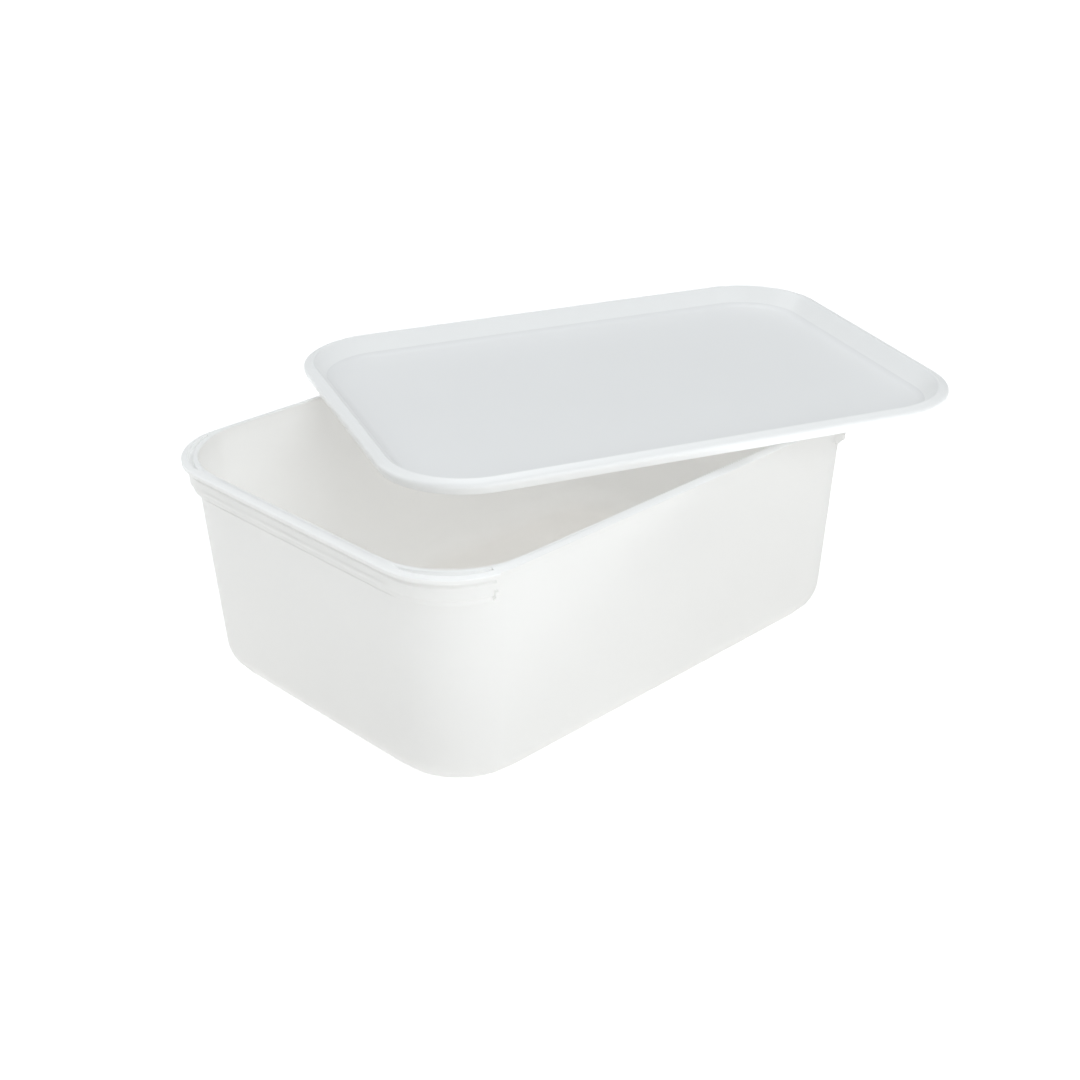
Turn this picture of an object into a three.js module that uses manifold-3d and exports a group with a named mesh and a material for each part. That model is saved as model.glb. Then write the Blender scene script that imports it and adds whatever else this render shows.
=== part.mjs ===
// A white plastic food tub with its separate lid, which lies turned across the open mouth.
// Millimetres, +Z up. The origin is the middle of the tub's flat base, +X runs along its long sides.
import * as THREE from 'three';
import { mergeVertices } from 'three/addons/utils/BufferGeometryUtils.js';
import Module from 'manifold-3d';

// Tub: overall size and corner radius of the rim
const RIM_LENGTH = 250;
const RIM_WIDTH = 180;
const TUB_HEIGHT = 95;
const RIM_CORNER = 33.5;

// Tub wall: insets are measured inwards from the rim's outer edge, drops downwards from its top
const WALL_THICKNESS = 1.25;
const WALL_INSET = 3.25;
const WALL_DRAFT = 0.06;
const WALL_CORNER_TOP = 35.2;
const WALL_CORNER_BASE = 32.6;
const BASE_ROUND = 13.5;

// Tub rim: a thin flange with eased edges
const FLANGE_THICKNESS = 1;
const FLANGE_EASE = 0.4;
const MOUTH_CORNER = 35.5;

// Collar band under the rim, on the short sides and round the corners
const BAND_START_X = 99;
const BAND_TOP = 0.7;
const EDGE_INSET = 0.15;
const EDGE_DROP = 2.5;
const NECK_INSET = 3.1;
const NECK_TOP = 4.1;
const NECK_BOTTOM = 4.9;
const COLLAR_INSET = 2.5;
const COLLAR_TOP = 5.5;
const COLLAR_BOTTOM = 10.2;
const STEP_INSET = 3.7;
const STEP_TOP = 10.9;
const STEP_BOTTOM = 13;
const BAND_BOTTOM = 13.6;

// Rib that closes each end of the band
const RIB_THICKNESS = 1.3;
const RIB_REACH = 2.2;
const RIB_ROOT = 3;
const RIB_TOP = 8.3;
const RIB_BOTTOM = 12.8;

// Crescent pocket in the rim's top at each corner, between an inner lip and the outer edge
const POCKET_DEPTH = 2.2;
const POCKET_OUTER_INSET = 2.6;
const POCKET_LIP_INSET = 1;
const POCKET_LIP_CORNER = 42.4;
const POCKET_CLEARANCE = 1.5;

// Lid: overall size, the peaked bead round its edge and the sunk panel inside the bead
const LID_LENGTH = 249.4;
const LID_WIDTH = 179.4;
const LID_CORNER = 37.5;
const LID_HEIGHT = 9.6;
const LID_THICKNESS = 1.2;
const SKIRT_HEIGHT = 5.6;
const SKIRT_LEAN = 1.2;
const SHOULDER_DROP = 1.5;
const SHOULDER_EASE = 1.8;
const CREST_INSET = 4.7;
const CREST_EASE = 0.7;
const PANEL_INSET = 11.2;
const PANEL_EASE = 3;

// Where the lid lies: turned and shifted over the mouth, its sunk panel just above the rim
const LID_TURN_DEG = -22.9;
const LID_X = 54.2;
const LID_Y = -0.2;
const LID_GAP = 0.3;

const CORNER_STEPS = 9;
const ROUND_STEPS = 6;
const EASE_STEPS = 3;
const CUT_MARGIN = 5;

const wasm = await Module();
wasm.setup();

// One level of a rounded rectangle, anticlockwise seen from above.
function ring(length, width, corner, z) {
  const points = [];
  for (let quarter = 0; quarter < 4; quarter++) {
    const signX = quarter === 0 || quarter === 3 ? 1 : -1;
    const signY = quarter < 2 ? 1 : -1;
    for (let step = 0; step <= CORNER_STEPS; step++) {
      const angle = (quarter + step / CORNER_STEPS) * Math.PI / 2;
      points.push(new THREE.Vector3(
        signX * (length / 2 - corner) + corner * Math.cos(angle),
        signY * (width / 2 - corner) + corner * Math.sin(angle),
        z));
    }
  }
  return points;
}

// A skin through a stack of rings. An open stack is capped at both ends, a looped one joins up.
function loft(rings, looped) {
  const count = rings[0].length;
  const positions = rings.flat().flatMap((point) => point.toArray());
  const faces = [];
  const spans = looped ? rings.length : rings.length - 1;
  for (let level = 0; level < spans; level++) {
    const low = level * count;
    const high = ((level + 1) % rings.length) * count;
    for (let i = 0; i < count; i++) {
      const next = (i + 1) % count;
      faces.push(low + i, low + next, high + next, low + i, high + next, high + i);
    }
  }
  if (!looped) {
    const last = (rings.length - 1) * count;
    for (let i = 1; i < count - 1; i++) {
      faces.push(0, i + 1, i, last, last + i, last + i + 1);
    }
  }
  const geometry = new THREE.BufferGeometry();
  geometry.setAttribute('position', new THREE.Float32BufferAttribute(positions, 3));
  geometry.setIndex(faces);
  return geometry;
}

// Closed geometry to a solid that can be joined and cut, and back again.
function toSolid(geometry) {
  const bare = geometry.clone();
  bare.deleteAttribute('normal');
  bare.deleteAttribute('uv');
  const merged = mergeVertices(bare);
  return new wasm.Manifold(new wasm.Mesh({
    numProp: 3,
    vertProperties: new Float32Array(merged.attributes.position.array),
    triVerts: new Uint32Array(merged.index.array),
  }));
}

function toGeometry(solid) {
  const mesh = solid.getMesh();
  const geometry = new THREE.BufferGeometry();
  geometry.setAttribute('position', new THREE.Float32BufferAttribute(mesh.vertProperties, 3));
  geometry.setIndex(Array.from(mesh.triVerts));
  geometry.computeVertexNormals();
  return geometry;
}

function box(low, high) {
  const size = new THREE.Vector3().subVectors(high, low);
  const centre = new THREE.Vector3().addVectors(low, high).multiplyScalar(0.5);
  return toSolid(new THREE.BoxGeometry(...size.toArray()).translate(...centre.toArray()));
}

// Tub level at an inset and a drop from the rim's outer top edge, with its own corner radius.
function rimRing(inset, corner, drop) {
  return ring(RIM_LENGTH - 2 * inset, RIM_WIDTH - 2 * inset, corner, TUB_HEIGHT - drop);
}

// Tub level whose corners share their centres with the rim's.
function edgeRing(inset, drop) {
  return rimRing(inset, RIM_CORNER - inset, drop);
}

// Tub level on the drafted wall, a depth in from its outer face.
function wallRing(drop, depth) {
  const share = drop / (TUB_HEIGHT - BASE_ROUND);
  const corner = THREE.MathUtils.lerp(WALL_CORNER_TOP, WALL_CORNER_BASE, share);
  return rimRing(WALL_INSET + WALL_DRAFT * drop + depth, corner, drop);
}

// Quarter-round levels that lead the wall into the floor, from the floor upwards.
function baseRound(depth) {
  const rings = [];
  const radius = BASE_ROUND - depth;
  const wallInset = WALL_INSET + WALL_DRAFT * (TUB_HEIGHT - BASE_ROUND) + depth;
  for (let step = 0; step <= ROUND_STEPS; step++) {
    const angle = (step / ROUND_STEPS) * Math.PI / 2;
    const inward = radius * (1 - Math.sin(angle));
    const z = depth + radius * (1 - Math.cos(angle));
    rings.push(rimRing(wallInset + inward, WALL_CORNER_BASE - inward, TUB_HEIGHT - z));
  }
  return rings;
}

// The moulded shell: base, drafted wall, thin flange and the inside down to the floor.
function tubShell() {
  const mouthInset = WALL_INSET + WALL_THICKNESS;
  const flange = [
    wallRing(FLANGE_THICKNESS, 0),
    edgeRing(FLANGE_EASE, FLANGE_THICKNESS),
    edgeRing(0, FLANGE_THICKNESS - FLANGE_EASE),
    edgeRing(0, FLANGE_EASE),
    edgeRing(FLANGE_EASE, 0),
    rimRing(mouthInset - FLANGE_EASE, MOUTH_CORNER, 0),
    rimRing(mouthInset, MOUTH_CORNER, FLANGE_EASE),
  ];
  const inside = baseRound(WALL_THICKNESS).reverse();
  return toSolid(loft([...baseRound(0), ...flange, ...inside], false));
}

// Keeps what lies beyond a distance from the middle along X, towards both short sides.
function beyond(solid, start) {
  const reach = RIM_LENGTH / 2 + CUT_MARGIN;
  const side = RIM_WIDTH / 2 + CUT_MARGIN;
  const top = TUB_HEIGHT + CUT_MARGIN;
  const right = box(new THREE.Vector3(start, -side, 0), new THREE.Vector3(reach, side, top));
  const left = box(new THREE.Vector3(-reach, -side, 0), new THREE.Vector3(-start, side, top));
  return solid.intersect(right.add(left));
}

// Thick rim edge, neck, collar and the step below it, on the short sides and corners.
function collarBand() {
  const root = WALL_THICKNESS / 2;
  return beyond(toSolid(loft([
    wallRing(BAND_BOTTOM, root),
    edgeRing(STEP_INSET + (BAND_BOTTOM - STEP_BOTTOM), BAND_BOTTOM),
    edgeRing(STEP_INSET, STEP_BOTTOM),
    edgeRing(STEP_INSET, STEP_TOP),
    edgeRing(COLLAR_INSET, COLLAR_BOTTOM),
    edgeRing(COLLAR_INSET, COLLAR_TOP),
    edgeRing(NECK_INSET, NECK_BOTTOM),
    edgeRing(NECK_INSET, NECK_TOP),
    edgeRing(EDGE_INSET, EDGE_DROP),
    edgeRing(EDGE_INSET, BAND_TOP),
    wallRing(BAND_TOP, root),
  ], true)), BAND_START_X);
}

// Upright rib at one end of the band, standing out from the corner towards a long side.
function endRib(signX, signY) {
  const centreX = RIM_LENGTH / 2 - RIM_CORNER;
  const centreY = RIM_WIDTH / 2 - RIM_CORNER;
  const angle = Math.asin((BAND_START_X - centreX) / (RIM_CORNER - STEP_INSET));
  const profile = new THREE.Shape([
    new THREE.Vector2(-RIB_ROOT, TUB_HEIGHT - RIB_TOP),
    new THREE.Vector2(-RIB_ROOT, TUB_HEIGHT - RIB_BOTTOM),
    new THREE.Vector2(0, TUB_HEIGHT - RIB_BOTTOM),
    new THREE.Vector2(RIB_REACH, TUB_HEIGHT - RIB_BOTTOM + RIB_REACH),
    new THREE.Vector2(RIB_REACH, TUB_HEIGHT - RIB_TOP),
  ]);
  const geometry = new THREE.ExtrudeGeometry(profile, { depth: RIB_THICKNESS, bevelEnabled: false })
    .translate(RIM_CORNER - STEP_INSET, 0, -RIB_THICKNESS / 2)
    .rotateX(Math.PI / 2)
    .rotateZ(signY * (Math.PI / 2 - signX * angle))
    .translate(signX * centreX, signY * centreY, 0);
  return toSolid(geometry);
}

// Crescents between the mouth's lip, which rounds the corner widely, and the outer edge.
function cornerPockets() {
  const outer = loft([
    edgeRing(POCKET_OUTER_INSET, POCKET_DEPTH),
    edgeRing(POCKET_OUTER_INSET, -CUT_MARGIN),
  ], false);
  const lip = loft([
    rimRing(POCKET_LIP_INSET, POCKET_LIP_CORNER, POCKET_DEPTH + CUT_MARGIN),
    rimRing(POCKET_LIP_INSET, POCKET_LIP_CORNER, -2 * CUT_MARGIN),
  ], false);
  return beyond(toSolid(outer).subtract(toSolid(lip)), BAND_START_X + POCKET_CLEARANCE);
}

function makeTub(material) {
  let solid = tubShell().add(collarBand());
  for (const signX of [-1, 1]) {
    for (const signY of [-1, 1]) {
      solid = solid.add(endRib(signX, signY));
    }
  }
  const mesh = new THREE.Mesh(toGeometry(solid.subtract(cornerPockets())), material);
  mesh.name = 'tub';
  return mesh;
}

// Lid level at an inset from its edge; heights count from the underside of the sunk panel.
function lidRing(inset, z) {
  return ring(LID_LENGTH - 2 * inset, LID_WIDTH - 2 * inset, LID_CORNER - inset, z);
}

// Rounds the corners of a section, each over its own reach along both of its sides.
function eased(corners, reaches) {
  return corners.flatMap((corner, index) => {
    if (!reaches[index]) return [corner];
    const [start, end] = [corners[index - 1], corners[index + 1]].map((neighbour) =>
      neighbour.clone().sub(corner).setLength(reaches[index]).add(corner));
    return new THREE.QuadraticBezierCurve(start, corner, end).getPoints(EASE_STEPS);
  });
}

// Corners of a sheet's lower face, parallel to its upper face.
function lowerFace(corners, thickness) {
  const normals = corners.slice(1).map((corner, index) => {
    const along = corner.clone().sub(corners[index]).normalize();
    return new THREE.Vector2(-along.y, along.x);
  });
  return corners.map((corner, index) => {
    const before = normals[Math.max(index - 1, 0)];
    const after = normals[Math.min(index, normals.length - 1)];
    const shift = before.clone().add(after).multiplyScalar(thickness / (1 + before.dot(after)));
    return corner.clone().add(shift);
  });
}

// One even sheet: the sunk panel, the steep slope up to the bead's crest, and the skirt outside it.
function makeLid(material) {
  const upper = [
    new THREE.Vector2(PANEL_INSET + 2 * PANEL_EASE, LID_THICKNESS),
    new THREE.Vector2(PANEL_INSET, LID_THICKNESS),
    new THREE.Vector2(CREST_INSET, LID_HEIGHT),
    new THREE.Vector2(0, LID_HEIGHT - SHOULDER_DROP),
    new THREE.Vector2(SKIRT_LEAN, LID_HEIGHT - SKIRT_HEIGHT),
  ];
  const reaches = [0, PANEL_EASE, CREST_EASE, SHOULDER_EASE, 0];
  const under = eased(lowerFace(upper, LID_THICKNESS), reaches);
  const levels = [...under, ...eased(upper, reaches).reverse()];
  const mesh = new THREE.Mesh(loft(levels.map((level) => lidRing(level.x, level.y)), false), material);
  mesh.geometry.computeVertexNormals();
  mesh.name = 'lid';
  return mesh;
}

const tubPlastic = new THREE.MeshStandardMaterial({ color: 0xf2f3f4, roughness: 0.35, metalness: 0 });
const lidPlastic = new THREE.MeshStandardMaterial({ color: 0xeff0f0, roughness: 0.42, metalness: 0 });

const container = new THREE.Group();
container.add(makeTub(tubPlastic));

const lid = makeLid(lidPlastic);
lid.position.set(LID_X, LID_Y, TUB_HEIGHT + LID_GAP);
lid.rotation.z = THREE.MathUtils.degToRad(LID_TURN_DEG);
container.add(lid);

export default container;
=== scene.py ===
"""A white plastic food tub, open, with its own lid lying turned across the mouth.

Section sizes are in millimetres and become metres when a mesh is made. The tub's insets count inwards
from the rim's outer edge and its drops downwards from the rim's top.
"""
import math

import bpy
import numpy as np
from mathutils import Matrix, Vector


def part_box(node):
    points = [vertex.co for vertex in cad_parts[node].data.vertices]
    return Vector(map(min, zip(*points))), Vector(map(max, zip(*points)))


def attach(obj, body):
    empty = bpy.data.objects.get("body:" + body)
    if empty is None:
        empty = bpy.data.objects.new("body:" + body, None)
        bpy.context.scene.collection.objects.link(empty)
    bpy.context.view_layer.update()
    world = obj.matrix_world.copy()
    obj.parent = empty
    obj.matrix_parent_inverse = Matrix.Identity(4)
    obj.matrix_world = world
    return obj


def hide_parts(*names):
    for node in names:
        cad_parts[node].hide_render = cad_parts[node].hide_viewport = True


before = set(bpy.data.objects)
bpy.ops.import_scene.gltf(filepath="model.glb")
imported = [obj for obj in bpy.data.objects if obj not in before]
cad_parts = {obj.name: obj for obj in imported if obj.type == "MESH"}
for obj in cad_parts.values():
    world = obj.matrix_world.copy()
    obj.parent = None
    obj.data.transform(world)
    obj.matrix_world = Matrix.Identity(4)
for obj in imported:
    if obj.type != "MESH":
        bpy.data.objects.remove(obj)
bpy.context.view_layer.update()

MM = 0.001

# Tub: the rim's outline and the wall, as in the solids
RIM_CORNER = 33.5
WALL_THICKNESS = 1.25
WALL_INSET = 3.25
WALL_DRAFT = 0.06
WALL_CORNER_TOP = 35.2
WALL_CORNER_BASE = 32.6
BASE_ROUND = 13.5
MOUTH_CORNER = 35.5

# Tub: thin flange on the long sides, and the drop of the wall's first level below it
FLANGE_THICKNESS = 1.0
FLANGE_EASE = 0.2
FLANGE_ROOT_DROP = 3.0
LONG_EDGE_INSET = 0.4

# Tub: the rim's top falls a little from its crest to the outer edge; the shares are of its width
LIP_CREST = 3.6
LIP_FALL = 0.7
LIP_EASE = 0.5
LIP_SHARES = (0.33, 0.67)

# Tub: the mouth, its distance from the pockets and the drops of the first levels inside
MOUTH_MARGIN = 1.0
MOUTH_EASE = 0.6
MOUTH_FOOT = 4.0
INNER_WALL_FROM = 9.0

# Tub: rim edge, neck, collar and step, on the short sides and round the corners
EDGE_DROP = 2.5
UNDER_EDGE_EASE = 0.5
NECK_INSET = 3.1
NECK_TOP = 4.1
NECK_BOTTOM = 4.9
COLLAR_INSET = 2.5
COLLAR_TOP = 5.5
COLLAR_BOTTOM = 10.2
STEP_INSET = 3.7
STEP_TOP = 10.9
STEP_BOTTOM = 13.0
BAND_BOTTOM = 13.6
BAND_EASE = 0.3
BAND_FOOT = BAND_BOTTOM + 2
OUTER_WALL_FROM = BAND_BOTTOM + 6

# Tub: the band ends in a small upright rib; angles count from the short side round the corner
BAND_END_DEG = 75.5
RIB_DEG = 2.4
RIB_EDGE_DEG = 0.35
RIB_INSET = 1.5
RIB_TOP = 8.3
RIB_TOP_BEVEL = 0.2
RIB_SHOULDER = 10.6
RIB_BOTTOM = 12.8

# Tub: crescent pocket in the rim's top at each corner
POCKET_DEPTH = 2.2
POCKET_OUTER_INSET = 2.6
POCKET_LIP_INSET = 1.0
POCKET_LIP_CORNER = 42.4
POCKET_TAPER = 0.9
POCKET_LEAN = 0.15

# Tub: how many corners of the section lie on the band and on the rim's top, and the numbers of the
# two corners between which the rim's own material lies, whose lighter tint is painted light
BAND_CORNERS = 10
TOP_CORNERS = 4
RIM_LIT_TINT_FROM = 13
RIM_LIT_TINT_TO = 18

# Lid: heights count from the underside of the sunk panel
LID_LENGTH = 249.4
LID_WIDTH = 179.4
LID_CORNER = 37.5
LID_HEIGHT = 9.6
LID_THICKNESS = 1.2
SKIRT_HEIGHT = 5.6
SKIRT_LEAN = 1.2
SKIRT_EASE = 0.4
SHOULDER_DROP = 1.5
SHOULDER_EASE = 1.8
CREST_INSET = 4.7
CREST_EASE = 0.7
PANEL_INSET = 11.2
PANEL_EASE = 3.0
LID_TURN_DEG = -22.9
LID_X = 54.2
LID_Y = -0.2

# Plastic: the share of light that a face of the thin wall lets through
TUB_LIGHT_THROUGH = 0.52
RIM_LIGHT_THROUGH = 0.12
LID_LIGHT_THROUGH = 0.05

# Plastic: a light and a deep tint that cloud into each other
TUB_TINTS = ((0.94, 0.935, 0.925), (0.925, 0.92, 0.91))
# The rim's tints are a little lighter than the tub's: painted light on the rim's top
RIM_LIT_TINTS = ((0.95, 0.95, 0.945), (0.935, 0.935, 0.93))
LID_TINTS = ((0.93, 0.93, 0.925), (0.915, 0.915, 0.91))
# The sunk panel's tints are darker than the lid's: painted shade on the panel; its rougher gloss is its
# matt moulded finish
PANEL_SHADED_TINTS = ((0.855, 0.855, 0.855), (0.84, 0.84, 0.84))
CLOUD_SCALE = 22.0
CLOUD_DETAIL = 3.0

# Plastic: gloss, how far its roughness wanders, and the fine grain, whose depth is in metres
PLASTIC_IOR = 1.49
SATIN_ROUGHNESS = 0.36
MATT_ROUGHNESS = 0.5
SMOOTHER_BY = 0.05
ROUGHER_BY = 0.07
GLOSS_SCALE = 60.0
GLOSS_DETAIL = 4.0
GRAIN_SCALE = 1400.0
GRAIN_DETAIL = 2.0
GRAIN_STRENGTH = 0.25
GRAIN_DEPTH = 0.00003

# Mesh fineness
CORNER_STEPS = 36
LONG_STEPS = 20
SHORT_STEPS = 12
WALL_STEPS = 10
ROUND_STEPS = 14
EASE_STEPS = 6
TRACE_STEPS = 60
MOST_EASED = 0.75
CAP_SCALES = (0.8, 0.55, 0.3, 0.1)
SHARP_DEG = 38.0

# Camera: fitted to the photo. Its place is in metres along its own right, up and backward directions,
# and its focal length is in widths of the sensor
CAMERA_AZIMUTH_DEG = -43.86
CAMERA_ELEVATION_DEG = 26.10
CAMERA_ROLL_DEG = -0.72
CAMERA_DISTANCE = 0.7667
AIM_RIGHT = 0.0039
AIM_UP = 0.0376
FOCAL_WIDTHS = 1.6284
SENSOR_MM = 36.0

# Studio: lengths in metres. The floor's glow grows between two distances from the middle
FLOOR_SIZE = 12.0
FLOOR_GAP = 0.0002
FLOOR_WHITE = 0.95
FLOOR_ROUGHNESS = 0.9
FLOOR_GLOW = 0.38
FAR_FLOOR_GLOW = 0.8
GLOW_FROM = 0.45
GLOW_TO = 1.1
WORLD_STRENGTH = 0.38
LIGHT_TINT = (0.955, 0.985, 1.0)
LIGHT_BOUNCES = 16

# Softboxes: name, azimuth and elevation in degrees, distance and size in metres, power in watts
SOFTBOXES = (
    ("key_light", -10.0, 36.0, 1.8, 1.4, 16.0),
    ("back_left_light", -150.0, 35.0, 1.8, 1.3, 9.5),
    ("high_back_light", 136.0, 60.0, 1.8, 0.7, 6.5),
)


def rounded_distance(points, half_length, half_width, corner):
    """Signed distance of plane points to a rounded rectangle round the origin."""
    beyond = np.abs(points) - (np.array([half_length, half_width]) - corner)
    outside = np.linalg.norm(np.maximum(beyond, 0.0), axis=1)
    inside = np.minimum(beyond.max(axis=1), 0.0)
    return outside + inside - corner


class Outline:
    """Stations round a rounded rectangle: a point, an outward direction and an angle at each.

    The angle is 0 on a short side, 90 on a long side and runs between them round a corner.
    """

    def __init__(self, length, width, corner, extra_angles=()):
        self.length, self.width, self.corner = length, width, corner
        quarter = np.union1d(np.linspace(0.0, 90.0, CORNER_STEPS + 1), extra_angles)
        points, normals, angles = [], [], []
        for index in range(4):
            sweep = quarter if index % 2 == 0 else 90.0 - quarter[::-1]
            turn = np.radians(index * 90.0 + sweep)
            direction = np.stack([np.cos(turn), np.sin(turn)], axis=1)
            signs = np.sign([math.cos(turn.mean()), math.sin(turn.mean())])
            centre = signs * (np.array([length, width]) / 2 - corner)
            points.append(centre + corner * direction)
            normals.append(direction)
            angles.append(quarter if index % 2 == 0 else quarter[::-1])
            steps = LONG_STEPS if index % 2 == 0 else SHORT_STEPS
            shares = np.arange(1, steps)[:, None] / steps
            along = np.array([-length if index == 0 else length, 0.0])
            if index % 2:
                along = np.array([0.0, -width if index == 1 else width])
            along -= 2 * corner * np.sign(along)
            points.append(points[-1][-1] + shares * along)
            normals.append(np.repeat(direction[-1:], steps - 1, axis=0))
            angles.append(np.full(steps - 1, angles[-1][-1]))
        self.points = np.concatenate(points)
        self.normals = np.concatenate(normals)
        self.angles = np.concatenate(angles)

    def inset_to(self, inset, corner):
        """How far inwards each station meets a smaller outline with a corner radius of its own."""
        reach = np.zeros(len(self.points))
        for _ in range(TRACE_STEPS):
            reach += rounded_distance(self.points - self.normals * reach[:, None],
                                      self.length / 2 - inset, self.width / 2 - inset, corner)
        return reach

    def even(self, value):
        return np.full(len(self.points), float(value))

    def ring(self, inset, height):
        """Points of one level, at an inset and a height for each station."""
        plane = self.points - self.normals * inset[:, None]
        return np.column_stack([plane, height])


def eased(section, radii):
    """Rounds the corners of a section. Each entry is an inset and a height for every station."""
    points = [np.column_stack(entry) for entry in section]
    rounded = []
    for index, point in enumerate(points):
        if not radii[index]:
            rounded.append(point)
            continue
        back = points[index - 1] - point
        ahead = points[index + 1] - point
        back_length = np.linalg.norm(back, axis=1, keepdims=True)
        ahead_length = np.linalg.norm(ahead, axis=1, keepdims=True)
        start = point + back * np.minimum(radii[index] / back_length, MOST_EASED)
        end = point + ahead * np.minimum(radii[index] / ahead_length, MOST_EASED)
        for share in np.linspace(0.0, 1.0, EASE_STEPS + 1):
            rounded.append((1 - share) ** 2 * start + 2 * share * (1 - share) * point + share ** 2 * end)
    return [(entry[:, 0], entry[:, 1]) for entry in rounded]


def closed_mesh(name, rings, second_from, second_to):
    """Skins a stack of rings, from the middle of the underside out, over and back to the middle.

    Faces between the ring numbers second_from and second_to take the piece's second material.
    """
    count = len(rings[0])
    middles = [ring.mean(axis=0) for ring in (rings[0], rings[-1])]
    first = [middles[0] + (rings[0] - middles[0]) * scale for scale in reversed(CAP_SCALES)]
    last = [middles[1] + (rings[-1] - middles[1]) * scale for scale in CAP_SCALES]
    stack = first + list(rings) + last
    vertices = np.concatenate(stack + [np.array(middles)]) * MM
    here = np.arange(count)
    following = (here + 1) % count
    faces = []
    for level in range(len(stack) - 1):
        low, high = level * count, (level + 1) * count
        faces += np.column_stack([low + here, low + following, high + following, high + here]).tolist()
    bottom, top = len(stack) * count, len(stack) * count + 1
    upper = (len(stack) - 1) * count
    faces += [[top, upper + int(a), upper + int(b)] for a, b in zip(here, following)]
    faces += [[bottom, int(b), int(a)] for a, b in zip(here, following)]
    mesh = bpy.data.meshes.new(name)
    mesh.from_pydata(vertices.tolist(), [], faces)
    finishes = np.zeros(len(faces), dtype=np.int32)
    finishes[(len(first) + second_from) * count:(len(first) + second_to) * count] = 1
    mesh.polygons.foreach_set("material_index", finishes)
    mesh.shade_smooth()
    mesh.set_sharp_from_angle(angle=math.radians(SHARP_DEG))
    piece = bpy.data.objects.new(name, mesh)
    bpy.context.scene.collection.objects.link(piece)
    return piece


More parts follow.
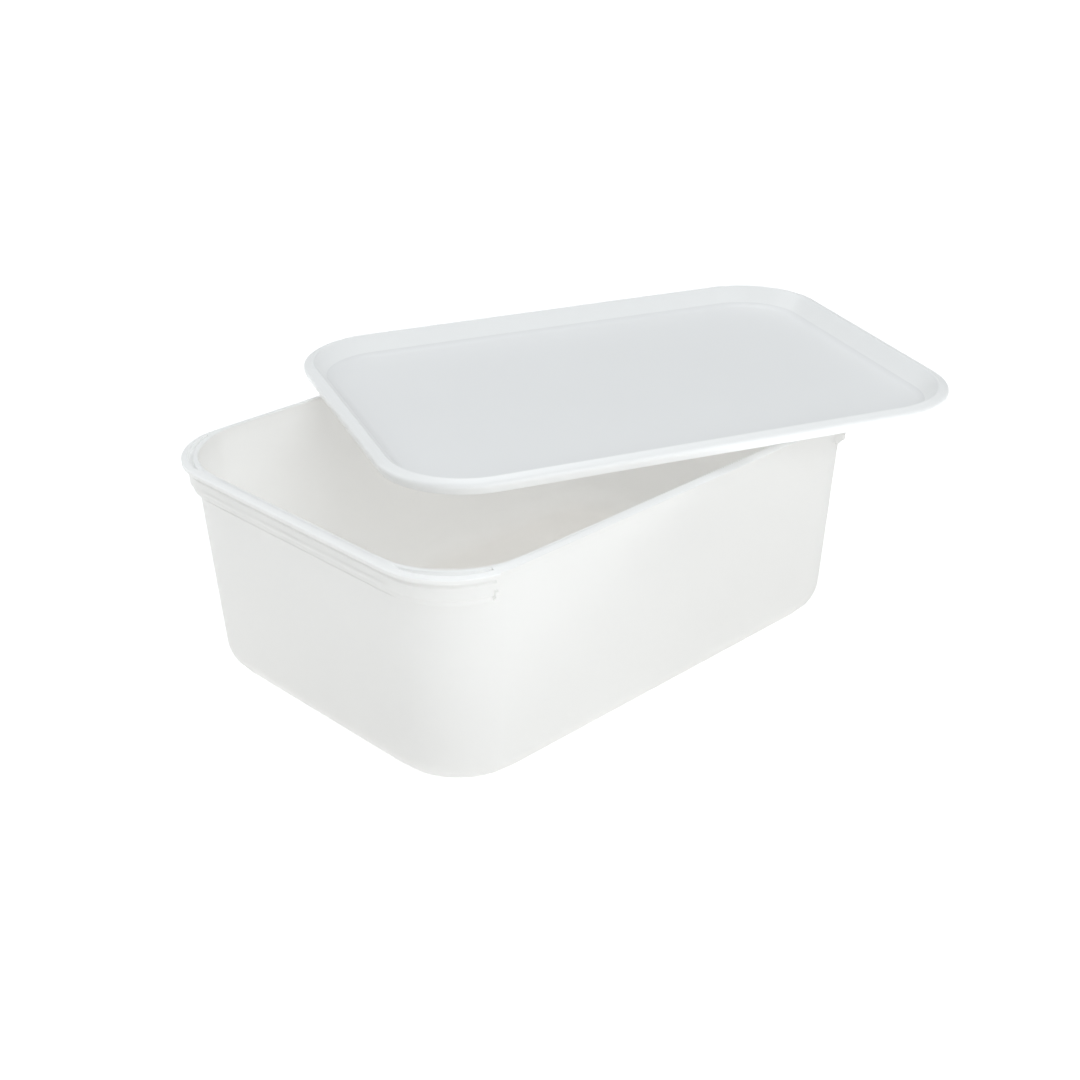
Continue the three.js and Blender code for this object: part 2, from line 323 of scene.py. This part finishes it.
def tub_piece(node):
    """The tub as one skin: base, wall, rim and the inside, with the band and pockets in the rim."""
    low, high = (np.array(corner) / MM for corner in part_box(node))
    length, width, tub_height = high - low
    rib_end = BAND_END_DEG + RIB_DEG
    outline = Outline(length, width, RIM_CORNER, (
        BAND_END_DEG - RIB_EDGE_DEG, BAND_END_DEG, rib_end, rib_end + RIB_EDGE_DEG))
    wall_foot = tub_height - BASE_ROUND

    def wall(drop, depth=0.0):
        share = drop / wall_foot
        corner = WALL_CORNER_TOP + share * (WALL_CORNER_BASE - WALL_CORNER_TOP)
        return outline.inset_to(WALL_INSET + WALL_DRAFT * drop + depth, corner)

    def base_round(depth):
        radius = BASE_ROUND - depth
        wall_inset = WALL_INSET + WALL_DRAFT * wall_foot + depth
        levels = []
        for angle in np.linspace(0.0, math.pi / 2, ROUND_STEPS + 1)[:-1]:
            inward = radius * (1 - math.sin(angle))
            rise = depth + radius * (1 - math.cos(angle))
            inset = outline.inset_to(wall_inset + inward, WALL_CORNER_BASE - inward)
            levels.append((inset, outline.even(tub_height - rise)))
        return levels

    band = (outline.angles < BAND_END_DEG - RIB_EDGE_DEG / 2).astype(float)
    from_rib = np.abs(outline.angles - BAND_END_DEG - RIB_DEG / 2)
    rib = (from_rib < RIB_DEG / 2 + RIB_EDGE_DEG / 2).astype(float)

    def blend(drop, band_inset, rib_inset, plain_drop=None, plain_inset=None, rib_drop=None):
        """One corner of the rim's section, on the plain long side, the band and the rib."""
        plain_drop = drop if plain_drop is None else plain_drop
        rib_drop = drop if rib_drop is None else rib_drop
        plain_inset = wall(plain_drop) if plain_inset is None else plain_inset
        plain = 1.0 - band - rib
        return (plain * plain_inset + band * band_inset + rib * rib_inset,
                plain * plain_drop + band * drop + rib * rib_drop)

    mouth = outline.inset_to(WALL_INSET + WALL_THICKNESS, MOUTH_CORNER)
    lip = np.minimum(outline.inset_to(POCKET_LIP_INSET, POCKET_LIP_CORNER), mouth - MOUTH_MARGIN)
    pocket = np.clip((lip - POCKET_OUTER_INSET) / POCKET_TAPER, 0.0, 1.0) * band
    pocket = pocket * pocket * (3 - 2 * pocket)

    def rim_top(pocket_inset, flat_share, depth):
        flat_inset = POCKET_OUTER_INSET + flat_share * (mouth - MOUTH_MARGIN - POCKET_OUTER_INSET)
        inset = pocket * pocket_inset + (1 - pocket) * flat_inset
        return inset, pocket * depth + LIP_FALL * np.clip(1 - inset / LIP_CREST, 0.0, 1.0)

    lower_step = (RIB_BOTTOM + STEP_TOP) / 2
    section = [
        (wall(BAND_FOOT), outline.even(BAND_FOOT)),
        blend(BAND_BOTTOM, wall(BAND_BOTTOM), wall(BAND_BOTTOM)),
        blend(STEP_BOTTOM, STEP_INSET, STEP_INSET),
        blend(RIB_BOTTOM, STEP_INSET, STEP_INSET),
        blend(lower_step, STEP_INSET, RIB_INSET, rib_drop=RIB_SHOULDER),
        blend(STEP_TOP, STEP_INSET, RIB_INSET),
        blend(COLLAR_BOTTOM, COLLAR_INSET, RIB_INSET),
        blend(RIB_TOP + RIB_TOP_BEVEL, COLLAR_INSET, RIB_INSET),
        blend(RIB_TOP, COLLAR_INSET, COLLAR_INSET),
        blend(COLLAR_TOP, COLLAR_INSET, COLLAR_INSET),
        blend(NECK_BOTTOM, NECK_INSET, NECK_INSET, plain_drop=FLANGE_ROOT_DROP),
        blend(NECK_TOP, NECK_INSET, NECK_INSET, plain_drop=FLANGE_THICKNESS),
        blend(EDGE_DROP, 0.0, 0.0, plain_drop=FLANGE_THICKNESS, plain_inset=LONG_EDGE_INSET),
        blend(LIP_FALL, 0.0, 0.0, plain_inset=LONG_EDGE_INSET),
        rim_top(POCKET_OUTER_INSET, 0.0, 0.0),
        rim_top(POCKET_OUTER_INSET + POCKET_LEAN, LIP_SHARES[0], POCKET_DEPTH),
        rim_top(lip - POCKET_LEAN, LIP_SHARES[1], POCKET_DEPTH),
        rim_top(lip, 1.0, 0.0),
        (mouth, outline.even(0.0)),
        (wall(MOUTH_FOOT, WALL_THICKNESS), outline.even(MOUTH_FOOT)),
    ]
    band_radii, top_radii = [BAND_EASE] * BAND_CORNERS, [BAND_EASE] * TOP_CORNERS
    edge_radii = [UNDER_EDGE_EASE, FLANGE_EASE, LIP_EASE]
    radii = [0, *band_radii, *edge_radii, *top_radii, MOUTH_EASE, 0]

    def wall_levels(start, stop, depth):
        return [(wall(drop, depth), outline.even(drop)) for drop in np.linspace(start, stop, WALL_STEPS)]

    outer = base_round(0.0) + wall_levels(wall_foot, OUTER_WALL_FROM, 0.0)
    inner = wall_levels(INNER_WALL_FROM, wall_foot, WALL_THICKNESS) + base_round(WALL_THICKNESS)[::-1]
    rings_each = [EASE_STEPS + 1 if radius else 1 for radius in radii]
    rim_from = len(outer) + sum(rings_each[:RIM_LIT_TINT_FROM])
    rim_to = len(outer) + sum(rings_each[:RIM_LIT_TINT_TO])
    levels = outer + eased(section, radii) + inner
    rings = [outline.ring(inset, tub_height - drop) for inset, drop in levels]
    return closed_mesh("tub_shell", rings, rim_from, rim_to)


def lower_face(corners, thickness):
    """Corners of a sheet's lower face, parallel to its upper face."""
    along = np.diff(corners, axis=0)
    along /= np.linalg.norm(along, axis=1, keepdims=True)
    normals = np.column_stack([-along[:, 1], along[:, 0]])
    before, after = np.vstack([normals[:1], normals]), np.vstack([normals, normals[-1:]])
    return corners + thickness * (before + after) / (1 + (before * after).sum(axis=1, keepdims=True))


def lid_piece(node):
    """The lid as one even sheet: sunk panel, steep slope, the bead's crest and the skirt outside it."""
    outline = Outline(LID_LENGTH, LID_WIDTH, LID_CORNER)
    upper = np.array([
        (PANEL_INSET + 2 * PANEL_EASE, LID_THICKNESS),
        (PANEL_INSET, LID_THICKNESS),
        (CREST_INSET, LID_HEIGHT),
        (0.0, LID_HEIGHT - SHOULDER_DROP),
        (SKIRT_LEAN, LID_HEIGHT - SKIRT_HEIGHT),
    ])
    reaches = [0, PANEL_EASE, CREST_EASE, SHOULDER_EASE, SKIRT_EASE]
    corners = np.vstack([lower_face(upper, LID_THICKNESS), upper[::-1]])
    section = [(outline.even(inset), outline.even(rise)) for inset, rise in corners]
    levels = eased(section, reaches + reaches[::-1])
    turn = math.radians(LID_TURN_DEG)
    spin = np.array([
        [math.cos(turn), math.sin(turn), 0], [-math.sin(turn), math.cos(turn), 0], [0, 0, 1]])
    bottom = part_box(node)[0][2] / MM
    place = np.array([LID_X, LID_Y, bottom])
    rings = [outline.ring(inset, rise) @ spin + place for inset, rise in levels]
    panel_from, panel_to = len(rings) - 1 - EASE_STEPS, len(rings) + len(CAP_SCALES)
    return closed_mesh("lid_sheet", rings, panel_from, panel_to)


def moulded_plastic(name, light_tint, deep_tint, roughness, light_through):
    """Satin white polypropylene: faint cloudiness, a fine moulded grain and a slightly uneven gloss."""
    material = bpy.data.materials.new(name)
    material.use_nodes = True
    nodes, links = material.node_tree.nodes, material.node_tree.links
    shader = nodes["Principled BSDF"]
    shader.inputs["IOR"].default_value = PLASTIC_IOR
    place = nodes.new("ShaderNodeTexCoord")

    def noise(scale, detail):
        texture = nodes.new("ShaderNodeTexNoise")
        texture.inputs["Scale"].default_value = scale
        texture.inputs["Detail"].default_value = detail
        links.new(place.outputs["Object"], texture.inputs["Vector"])
        return texture.outputs["Fac"]

    tint = nodes.new("ShaderNodeMix")
    tint.data_type = "RGBA"
    tint.inputs["A"].default_value = (*light_tint, 1.0)
    tint.inputs["B"].default_value = (*deep_tint, 1.0)
    links.new(noise(CLOUD_SCALE, CLOUD_DETAIL), tint.inputs["Factor"])
    links.new(tint.outputs["Result"], shader.inputs["Base Color"])

    gloss = nodes.new("ShaderNodeMapRange")
    gloss.inputs["To Min"].default_value = roughness - SMOOTHER_BY
    gloss.inputs["To Max"].default_value = roughness + ROUGHER_BY
    links.new(noise(GLOSS_SCALE, GLOSS_DETAIL), gloss.inputs["Value"])
    links.new(gloss.outputs["Result"], shader.inputs["Roughness"])

    grain = nodes.new("ShaderNodeBump")
    grain.inputs["Strength"].default_value = GRAIN_STRENGTH
    grain.inputs["Distance"].default_value = GRAIN_DEPTH
    links.new(noise(GRAIN_SCALE, GRAIN_DETAIL), grain.inputs["Height"])
    links.new(grain.outputs["Normal"], shader.inputs["Normal"])

    glow = nodes.new("ShaderNodeBsdfTranslucent")
    links.new(tint.outputs["Result"], glow.inputs["Color"])
    mix = nodes.new("ShaderNodeMixShader")
    mix.inputs["Fac"].default_value = light_through
    links.new(shader.outputs["BSDF"], mix.inputs[1])
    links.new(glow.outputs["BSDF"], mix.inputs[2])
    links.new(mix.outputs["Shader"], nodes["Material Output"].inputs["Surface"])
    return material


def pale_floor():
    """A white floor that glows more away from the object, as a lit backdrop does."""
    mesh = bpy.data.meshes.new("floor")
    half = FLOOR_SIZE / 2
    level = -FLOOR_GAP
    corners = [(-half, -half, level), (half, -half, level), (half, half, level), (-half, half, level)]
    mesh.from_pydata(corners, [], [(0, 1, 2, 3)])
    floor = bpy.data.objects.new("floor", mesh)
    bpy.context.scene.collection.objects.link(floor)
    material = bpy.data.materials.new("floor_white")
    material.use_nodes = True
    nodes, links = material.node_tree.nodes, material.node_tree.links
    shader = nodes["Principled BSDF"]
    shader.inputs["Base Color"].default_value = (FLOOR_WHITE, FLOOR_WHITE, FLOOR_WHITE, 1.0)
    shader.inputs["Roughness"].default_value = FLOOR_ROUGHNESS
    shader.inputs["Emission Color"].default_value = (1.0, 1.0, 1.0, 1.0)
    place = nodes.new("ShaderNodeTexCoord")
    away = nodes.new("ShaderNodeVectorMath")
    away.operation = "LENGTH"
    glow = nodes.new("ShaderNodeMapRange")
    glow.inputs["From Min"].default_value = GLOW_FROM
    glow.inputs["From Max"].default_value = GLOW_TO
    glow.inputs["To Min"].default_value = FLOOR_GLOW
    glow.inputs["To Max"].default_value = FAR_FLOOR_GLOW
    links.new(place.outputs["Object"], away.inputs[0])
    links.new(away.outputs["Value"], glow.inputs["Value"])
    links.new(glow.outputs["Result"], shader.inputs["Emission Strength"])
    mesh.materials.append(material)


def camera_turn(azimuth_deg, elevation_deg, roll_deg):
    """Right, up and backward directions of a camera that looks at the object from an angle."""
    azimuth, elevation = math.radians(azimuth_deg), math.radians(elevation_deg)
    back = Vector((math.sin(azimuth) * math.cos(elevation),
                   -math.cos(azimuth) * math.cos(elevation), math.sin(elevation)))
    right = Vector((math.cos(azimuth), math.sin(azimuth), 0.0))
    up = back.cross(right)
    turn = Matrix((right, up, back)).transposed()
    return turn @ Matrix.Rotation(math.radians(roll_deg), 3, "Z")


def photo_camera():
    data = bpy.data.cameras.new("photo_camera")
    data.sensor_width = SENSOR_MM
    data.lens = FOCAL_WIDTHS * SENSOR_MM
    camera = bpy.data.objects.new("photo_camera", data)
    bpy.context.scene.collection.objects.link(camera)
    turn = camera_turn(CAMERA_AZIMUTH_DEG, CAMERA_ELEVATION_DEG, CAMERA_ROLL_DEG)
    spot = turn @ Vector((AIM_RIGHT, AIM_UP, CAMERA_DISTANCE))
    camera.matrix_world = Matrix.Translation(spot) @ turn.to_4x4()
    bpy.context.scene.camera = camera


def soft_light(name, azimuth_deg, elevation_deg, distance, size, power):
    """A square softbox that faces the object from an angle."""
    data = bpy.data.lights.new(name, "AREA")
    data.shape = "SQUARE"
    data.size = size
    data.energy = power
    data.color = LIGHT_TINT
    light = bpy.data.objects.new(name, data)
    bpy.context.scene.collection.objects.link(light)
    turn = camera_turn(azimuth_deg, elevation_deg, 0.0)
    light.matrix_world = Matrix.Translation(turn @ Vector((0.0, 0.0, distance))) @ turn.to_4x4()


def studio():
    scene = bpy.context.scene
    world = bpy.data.worlds.new("studio")
    world.use_nodes = True
    background = world.node_tree.nodes["Background"]
    background.inputs["Color"].default_value = (*LIGHT_TINT, 1.0)
    background.inputs["Strength"].default_value = WORLD_STRENGTH
    scene.world = world
    scene.view_settings.view_transform = "Standard"
    scene.cycles.diffuse_bounces = LIGHT_BOUNCES
    scene.cycles.max_bounces = LIGHT_BOUNCES
    for softbox in SOFTBOXES:
        soft_light(*softbox)
    pale_floor()


tub = tub_piece("tub")
tub.data.materials.append(moulded_plastic(
    "tub_polypropylene", *TUB_TINTS, SATIN_ROUGHNESS, TUB_LIGHT_THROUGH))
# The rim's top lets less light through its thicker plastic, and its lighter tint is painted light
tub.data.materials.append(moulded_plastic(
    "rim_polypropylene_painted_light", *RIM_LIT_TINTS, SATIN_ROUGHNESS, RIM_LIGHT_THROUGH))
lid = lid_piece("lid")
lid.data.materials.append(moulded_plastic(
    "lid_polypropylene", *LID_TINTS, SATIN_ROUGHNESS, LID_LIGHT_THROUGH))
# The sunk panel has a matt finish, and its darker tint is painted shade
lid.data.materials.append(moulded_plastic(
    "lid_panel_matt_painted_shade", *PANEL_SHADED_TINTS, MATT_ROUGHNESS, LID_LIGHT_THROUGH))
for piece, node, slot in ((tub, "tub", "tub_plastic"), (lid, "lid", "lid_plastic")):
    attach(piece, "root")
    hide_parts(node)

studio()
photo_camera()
